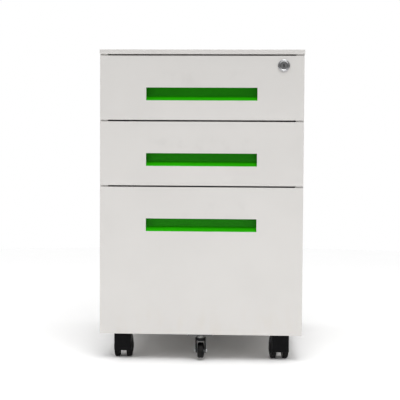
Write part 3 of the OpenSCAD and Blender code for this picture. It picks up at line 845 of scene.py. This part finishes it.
class PEDESTAL_OT_lock(Operator):
    """Turns the lock's barrel and ring, and finishes its plug, nut, cam, bar and guides"""

    bl_idname = "pedestal.lock"
    bl_label = "Lock"

    ring_segments: IntProperty(name="Segments", description="Facets round the ring", default=96)
    barrel_share: FloatProperty(
        name="Barrel share", description="Barrel diameter as a share of the ring's", default=19 / 23.5)
    lip: FloatProperty(name="Lip", description="Rounding of the ring's rim", unit="LENGTH", default=0.002)
    play: FloatProperty(name="Play", description="Gap round the plug", unit="LENGTH", default=0.00005)

    def execute(self, context):
        edge = context.scene.pedestal_metal.edge_radius * 0.6
        centre = Vector(JOINTS["lock_turn"]["pos_m"])
        plug_low, plug_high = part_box("lock_plug")
        bore = (plug_high.x - plug_low.x) / 2 + self.play
        self.turn_barrel(centre, bore, centre.y - plug_low.y)
        plug = finished_copy("lock_plug", [lock_chrome()], edge, None, 3)
        # Painted shade: the faces inside the keyway get near-black black zinc in place of chrome, standing in for
        # the shade deep in the slot.
        refinish(plug, black_zinc_and_shade(), lambda place: place.y > plug_low.y + edge
                 and max(abs(place.x - centre.x), abs(place.z - centre.z)) < bore * 0.6)
        for node in ("lock_nut", "lock_cam", "lock_bar", "lock_bar_guides"):
            finished_copy(node, [bar_zinc()], edge)
        return {"FINISHED"}

    def turn_barrel(self, centre, bore, sunk):
        """The barrel and its ring: a rounded rim, a small step inside it, and a dish down to the plug."""
        low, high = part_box("lock_barrel")
        ring = (high.x - low.x) / 2
        barrel = ring * self.barrel_share
        proud = centre.y - low.y
        rear = centre.y - high.y
        dish = bore + 0.3 * (ring - bore)  # radius at which the dish starts
        step = [(dish, proud - 0.0002), (dish - 0.0003, proud - 0.0005)]
        rim = arc((ring - self.lip, proud - self.lip), self.lip, 0, 96, 10)
        profile = [(bore, rear), (barrel, rear), (barrel, 0.0), (ring, 0.0), *rim, *step,
                   (bore, sunk), (bore, rear)]
        piece = new_object("lock_ring", turned("lock_ring", profile, self.ring_segments))
        piece.data.transform(frame_along(centre, (0, -1, 0)))
        piece.data.materials.append(lock_chrome())
        stand_for(piece, "lock_barrel")


class PEDESTAL_OT_slides(Operator):
    """Rounds and plates the members of the six slides"""

    bl_idname = "pedestal.slides"
    bl_label = "Slides"

    def execute(self, context):
        edge = context.scene.pedestal_metal.edge_radius
        for row in SLIDE_ROWS:
            finished_copy(f"{row}_slide_outer_members", [slide_zinc()], edge)
            for side in SIDES:
                for member in ("middle", "inner"):
                    finished_copy(f"{row}_slide_{side}_{member}", [slide_zinc()], edge)
        return {"FINISHED"}


class PEDESTAL_OT_ball_races(Operator):
    """Fills the slides' races with balls and their cages"""

    bl_idname = "pedestal.ball_races"
    bl_label = "Ball races"

    def execute(self, context):
        balls = context.scene.pedestal_balls
        steel = context.scene.pedestal_metal.slide_steel
        run = balls.count * balls.pitch
        margin = 0.0125  # from the end of a middle member to its nearest ball
        for row in SLIDE_ROWS:
            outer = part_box(f"{row}_slide_outer_members")
            for race in ("outer", "inner"):
                points = []
                for side in SIDES:
                    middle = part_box(f"{row}_slide_{side}_middle")
                    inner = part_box(f"{row}_slide_{side}_inner")
                    centre = (middle[0] + middle[1]) / 2
                    if race == "outer":
                        top, bottom = outer[1].z - steel, middle[1].z
                        start = middle[1].y - margin - run
                    else:
                        top, bottom = middle[1].z - steel, inner[1].z
                        start = middle[0].y + margin
                    level = (top + bottom) / 2 - centre.z
                    points += [(centre.x, start, centre.z + level), (centre.x, start, centre.z - level)]
                piece = points_object(f"{row}_slide_{race}_balls", points)
                grown(piece, ball_race_tree(), {
                    "Balls": balls.count, "Pitch": balls.pitch, "Diameter": top - bottom - balls.play,
                    "Cage width": balls.cage_width, "Cage thickness": balls.cage_thickness})
                hand_over(piece, f"{row}_slide_middles")
        return {"FINISHED"}


class PEDESTAL_OT_fasteners(Operator):
    """Puts in the slide screws, the back's rivets and the tip caster's screws"""

    bl_idname = "pedestal.fasteners"
    bl_label = "Screws and rivets"

    screw_radius: FloatProperty(
        name="Screw radius", description="Radius of a screw's head", unit="LENGTH", default=0.0034)
    low_height: FloatProperty(
        name="Low head", description="Height of a slide screw's head", unit="LENGTH", default=0.0005)
    pan_height: FloatProperty(
        name="Pan head", description="Height of a plate screw's head", unit="LENGTH", default=0.0014)
    rivet_radius: FloatProperty(
        name="Rivet radius", description="Radius of a rivet's head", unit="LENGTH", default=0.0031)
    rivet_height: FloatProperty(
        name="Rivet height", description="Height of a rivet's head", unit="LENGTH", default=0.00095)
    rivets: IntProperty(name="Rivets", description="Rivets down each side of the back", min=2, default=6)

    def execute(self, context):
        low_head = screw_head(self.screw_radius, self.low_height)
        pan_head = screw_head(self.screw_radius, self.pan_height)
        rivet = rivet_head(self.rivet_radius, self.rivet_height)
        for seed, (row, drawer) in enumerate(zip(SLIDE_ROWS, DRAWERS)):
            self.screw_slides(context, row, drawer, low_head, seed)
        self.rivet_back(rivet)
        self.screw_tip_plate(pan_head)
        for head in (low_head, pan_head, rivet):
            bpy.data.objects.remove(head)
        return {"FINISHED"}

    def screw_slides(self, context, row, drawer, head, seed):
        """Screws that hold a row's outer members to the cabinet, and its inner members to the tray."""
        steel = context.scene.pedestal_metal.slide_steel
        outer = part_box(f"{row}_slide_outer_members")
        level = (outer[0].z + outer[1].z) / 2
        ends = (outer[0].y + 0.012, outer[1].y - 0.013)
        points, facings = [], []
        for sign in SIDES.values():
            points += [(sign * (outer[1].x - steel), y, level) for y in ends]
            facings += [(-sign, 0, 0)] * len(ends)
        place_heads(f"{row}_slide_screws", "cabinet", head, slide_zinc(), points, facings, seed)
        points, facings = [], []
        for side, sign in SIDES.items():
            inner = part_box(f"{row}_slide_{side}_inner")
            web = (inner[0].x if sign > 0 else inner[1].x) + sign * steel
            stations = [inner[0].y + share * (inner[1].y - inner[0].y) for share in (0.05, 0.42, 0.86)]
            points += [(web, y, level) for y in stations]
            facings += [(sign, 0, 0)] * len(stations)
        place_heads(f"{drawer}_slide_screws", drawer, head, slide_zinc(),
                    points, facings, seed + 10)

    def rivet_back(self, rivet):
        """Blind rivets down both back returns."""
        low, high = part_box("right_side_panel")
        inset = 0.03  # from the panel's ends
        column = high.x - 0.0078  # the middle of a return
        pitch = (high.z - low.z - 2 * inset) / (self.rivets - 1)
        points = [(sign * column, high.y, low.z + inset + step * pitch)
                  for sign in SIDES.values() for step in range(self.rivets)]
        place_heads("back_rivets", "cabinet", rivet, powder_coat(),
                    points, [(0, 1, 0)] * len(points), 5)

    def screw_tip_plate(self, head):
        """Pan heads under the tip caster's plate."""
        low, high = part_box("tip_caster_plate")
        out = high.x - 0.007
        points = [(sign * out, (low.y + high.y) / 2, high.z - TIP_PLATE) for sign in SIDES.values()]
        place_heads("tip_plate_screws", "file_drawer", head, bar_zinc(),
                    points, [(0, 0, -1)] * len(points), 8)


class PEDESTAL_OT_bumpers(Operator):
    """Sticks soft bumpers behind the fronts, where they close on the posts"""

    bl_idname = "pedestal.bumpers"
    bl_label = "Bumpers"

    inset: FloatProperty(
        name="Inset", description="Distance from a front's sides", unit="LENGTH", default=0.008)
    corner: FloatProperty(
        name="Corner", description="Distance from a front's top and bottom", unit="LENGTH", default=0.016)
    radius: FloatProperty(name="Radius", description="Bumper radius", unit="LENGTH", default=0.004)
    thickness: FloatProperty(name="Thickness", description="Bumper thickness", unit="LENGTH", default=0.0007)

    def execute(self, context):
        dome = bumper_dome(self.radius, self.thickness)
        for seed, drawer in enumerate(DRAWERS):
            low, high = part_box(f"{drawer}_front")
            points = [(sign * (high.x - self.inset), high.y, z)
                      for sign in SIDES.values() for z in (low.z + self.corner, high.z - self.corner)]
            place_heads(f"{drawer}_bumpers", drawer, dome, bumper_rubber(),
                        points, [(0, 1, 0)] * len(points), seed)
        bpy.data.objects.remove(dome)
        return {"FINISHED"}


class PEDESTAL_OT_casters(Operator):
    """Finishes the four twin-wheel casters"""

    bl_idname = "pedestal.casters"
    bl_label = "Casters"

    def execute(self, context):
        plastic = context.scene.pedestal_plastic
        edge = context.scene.pedestal_metal.edge_radius
        for caster in CASTERS:
            finished_copy(f"{caster}_caster_hood", [caster_nylon()], plastic.hood_radius, None, 3)
            finished_copy(f"{caster}_caster_axle", [bar_zinc()], edge)
            for side in SIDES:
                self.turn_wheel(context, caster, side)
        for node in ("caster_stems", "caster_mount_plates"):
            finished_copy(node, [bar_zinc()], edge)
        return {"FINISHED"}

    def turn_wheel(self, context, caster, side):
        """A wheel turned to its envelope: a seamed tread, a ring groove and a hub cap set back a little."""
        shape = context.scene.pedestal_casters
        node = f"{caster}_caster_{side}_wheel"
        joint = JOINTS[f"{caster}_{side}_wheel_spin"]
        outward = Vector(joint["axis"]) * SIDES[side]
        inner, outer, radius = span_on(node, joint["pos_m"], outward)
        width = outer - inner
        bore = 0.00305  # radius of the axle's hole
        hole = width - 0.0024  # its depth
        tread = width - 0.0044  # height of the tread, from the wheel's inner face
        face = tread + 0.0019  # where the domed face starts, above the tread's shoulder
        seam = tread * 0.55
        inner_round, shoulder_round, seam_half, hub_step = 0.0016, 0.002, 0.0003, 0.0003
        rim, middle = radius - 0.0034, 0.003  # the dome's greatest and least radius
        groove, hub = (radius * 0.56, radius * 0.66), radius * 0.3
        disc = []
        for share in (step / 20 for step in range(21)):
            reach = rim * (1 - share) + middle * share
            height = face + (width - face) * math.sin(math.pi / 2 * share)
            sunk = shape.ring_depth if groove[0] < reach < groove[1] else 0.0
            disc.append((reach, height - sunk - (hub_step if reach < hub else 0.0)))
        inside = [(0.0, hole), (bore, hole), (bore, 0.0)]
        edge = arc((radius - inner_round, inner_round), inner_round, -90, 0, 5)
        band = [(radius, seam - seam_half), (radius - shape.seam_depth, seam), (radius, seam + seam_half)]
        shoulder = arc((radius - shoulder_round, tread), shoulder_round, 0, 70, 6)
        profile = [*inside, *edge, *band, *shoulder, *disc, (0.0, disc[-1][1])]
        still = len(inside) + 2  # points before the first one that rolls on the floor
        rolled = len(edge) - 2 + len(band) + 3
        marks = [0.0] * still + [1.0] * rolled + [0.0] * (len(profile) - still - rolled)
        wheel = new_object(f"{node}_finished", turned(node, profile, shape.segments, marks))
        wheel.data.transform(frame_along(Vector(joint["pos_m"]) + outward * inner, outward))
        wheel.data.materials.append(caster_nylon())
        stand_for(wheel, node)


class PEDESTAL_OT_tip_caster(Operator):
    """Finishes the small caster under the file drawer's front"""

    bl_idname = "pedestal.tip_caster"
    bl_label = "Tip caster"

    bore: FloatProperty(
        name="Bore", description="Radius of the wheel's axle hole", unit="LENGTH", default=0.00255)
    corner: FloatProperty(name="Corner", description="Rounding of the tyre", unit="LENGTH", default=0.0035)
    recess: FloatProperty(
        name="Recess", description="Depth of the ring in the wheel's sides", unit="LENGTH", default=0.0007)

    def execute(self, context):
        edge = context.scene.pedestal_metal.edge_radius
        plate = finished_copy("tip_caster_plate", [bar_zinc()], edge)
        plate_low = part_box("tip_caster_plate")[1].z - TIP_PLATE
        fork_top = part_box("tip_caster_fork")[1].z
        # Painted shade: the swivel collar gets dark grey steel and the kingpin inside the fork gets black zinc in
        # place of bright zinc, standing in for the shade under the cabinet and inside the fork; the plate's black
        # is partly its own colour and partly painted shade.
        refinish(plate, dull_shaded_steel(), lambda place: fork_top < place.z)
        refinish(plate, black_zinc_and_shade(), lambda place: not fork_top <= place.z <= plate_low - edge)
        finished_copy("tip_caster_axle", [bar_zinc()], edge * 2, None, 3)
        finished_copy("tip_caster_fork", [caster_nylon()], edge * 0.5)
        self.turn_wheel(context)
        return {"FINISHED"}

    def turn_wheel(self, context):
        """A wheel with a rounded tyre and a ring sunk into each side."""
        joint = JOINTS["tip_wheel_spin"]
        inner, outer, radius = span_on("tip_caster_wheel", joint["pos_m"], joint["axis"])
        half = (outer - inner) / 2
        side = [(self.bore, -half), (radius * 0.42, -half), (radius * 0.47, self.recess - half),
                (radius * 0.66, self.recess - half), (radius * 0.71, -half)]
        tyre = arc((radius - self.corner, self.corner - half), self.corner, -90, 0, 8)
        lower = [*side, *tyre]
        upper = [(reach, -height) for reach, height in reversed(lower)]
        rolled = 4  # points of each half that roll on the floor
        marks = [0.0] * (len(lower) - rolled) + [1.0] * rolled
        wheel = new_object("tip_caster_wheel_finished", turned(
            "tip_caster_wheel", [*lower, *upper, lower[0]], context.scene.pedestal_casters.segments,
            [*marks, *reversed(marks), 0.0]))
        middle = Vector(joint["pos_m"]) + Vector(joint["axis"]) * (inner + outer) / 2
        wheel.data.transform(frame_along(middle, joint["axis"]))
        wheel.data.materials.append(caster_nylon())
        stand_for(wheel, "tip_caster_wheel")


class PEDESTAL_OT_stage(Operator):
    """Sets up the floor, the studio light and the camera"""

    bl_idname = "pedestal.stage"
    bl_label = "Stage"

    def execute(self, context):
        stage = context.scene.pedestal_stage
        self.lay_floor(stage)
        self.light_studio(context, stage)
        camera = bpy.data.objects.new("Camera", bpy.data.cameras.new("Camera"))
        context.scene.collection.objects.link(camera)
        camera.data.lens = stage.lens
        camera.data.sensor_width = 36
        camera.data.clip_end = 100
        turn = (Matrix.Rotation(stage.camera_yaw, 4, "Z") @ Matrix.Rotation(stage.camera_pitch, 4, "X")
                @ Matrix.Rotation(stage.camera_roll, 4, "Y") @ Matrix.Rotation(math.pi / 2, 4, "X"))
        camera.matrix_world = Matrix.Translation(stage.camera_place) @ turn
        context.scene.camera = camera
        context.scene.view_settings.view_transform = "Standard"
        return {"FINISHED"}

    def lay_floor(self, stage):
        """A plain pale round floor that the casters stand on."""
        radius, thickness = stage.floor_radius, 0.01
        profile = [(0.0, -thickness), (radius, -thickness), (radius, 0.0), (0.0, 0.0)]
        mesh = turned("floor", profile, 64)
        floor = new_object("floor", mesh)
        surface = Finish("Studio floor", stage.floor_colour, 0.6)
        surface.feed("Roughness", 0.55 + surface.noise(3.0) * 0.1)
        mesh.materials.append(surface.material)

    def light_studio(self, context, stage):
        """A bright ceiling over dimmer walls, one large soft light high in front, and a white backdrop."""
        world = bpy.data.worlds.new("Studio")
        world.use_nodes = True
        tree = NodeTree(world.node_tree)
        direction = tree.node("ShaderNodeTexCoord", output="Generated")
        height = tree.node("ShaderNodeSeparateXYZ", {0: direction}, "Z")
        light = height.rise(0.1, 0.9) * (stage.ceiling_strength - stage.wall_strength) + stage.wall_strength
        seen = tree.node("ShaderNodeLightPath", output="Is Camera Ray")
        walls = tree.node("ShaderNodeBackground", {
            "Color": (1.0, 1.0, 1.0, 1.0), "Strength": light + seen * (stage.backdrop_strength - light)})
        tree.add("ShaderNodeOutputWorld", {"Surface": walls})
        context.scene.world = world
        key = bpy.data.objects.new("key", bpy.data.lights.new("key", "AREA"))
        context.scene.collection.objects.link(key)
        key.data.size = stage.key_size
        key.data.energy = stage.key_power
        key.data.spread = stage.key_spread
        place = Vector(stage.key_place)
        aim = Vector(stage.key_aim) - place
        key.matrix_world = Matrix.Translation(place) @ aim.to_track_quat("-Z", "Y").to_matrix().to_4x4()


class PEDESTAL_PT_sidebar(Panel):
    """Lists the pedestal's settings and makers"""

    bl_idname = "PEDESTAL_PT_sidebar"
    bl_label = "Filing pedestal"
    bl_space_type = "VIEW_3D"
    bl_region_type = "UI"
    bl_category = "Pedestal"

    def draw(self, context):
        for name, group in SETTINGS.items():
            box = self.layout.box()
            for key in group.__annotations__:
                box.prop(getattr(context.scene, name), key)
        for operator in OPERATORS:
            self.layout.operator(operator.bl_idname)


SETTINGS = {
    "pedestal_paint": PaintSettings,
    "pedestal_plastic": PlasticSettings,
    "pedestal_metal": MetalSettings,
    "pedestal_balls": BallSettings,
    "pedestal_casters": CasterSettings,
    "pedestal_stage": StageSettings,
}
OPERATORS = (
    PEDESTAL_OT_steel_body,
    PEDESTAL_OT_drawer_fronts,
    PEDESTAL_OT_trays,
    PEDESTAL_OT_pulls,
    PEDESTAL_OT_lock,
    PEDESTAL_OT_slides,
    PEDESTAL_OT_ball_races,
    PEDESTAL_OT_fasteners,
    PEDESTAL_OT_bumpers,
    PEDESTAL_OT_casters,
    PEDESTAL_OT_tip_caster,
    PEDESTAL_OT_stage,
)


def register():
    """Registers every class and the scene's settings."""
    for name, group in SETTINGS.items():
        bpy.utils.register_class(group)
        setattr(bpy.types.Scene, name, PointerProperty(type=group))
    for operator in OPERATORS:
        bpy.utils.register_class(operator)
    bpy.utils.register_class(PEDESTAL_PT_sidebar)


def unregister():
    """Removes every class and the scene's settings."""
    bpy.utils.unregister_class(PEDESTAL_PT_sidebar)
    for operator in reversed(OPERATORS):
        bpy.utils.unregister_class(operator)
    for name, group in SETTINGS.items():
        delattr(bpy.types.Scene, name)
        bpy.utils.unregister_class(group)


def main():
    """Finishes the whole pedestal."""
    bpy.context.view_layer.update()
    register()
    for operator in OPERATORS:
        group, name = operator.bl_idname.split(".")
        getattr(getattr(bpy.ops, group), name)()


if __name__ == "__main__":
    main()
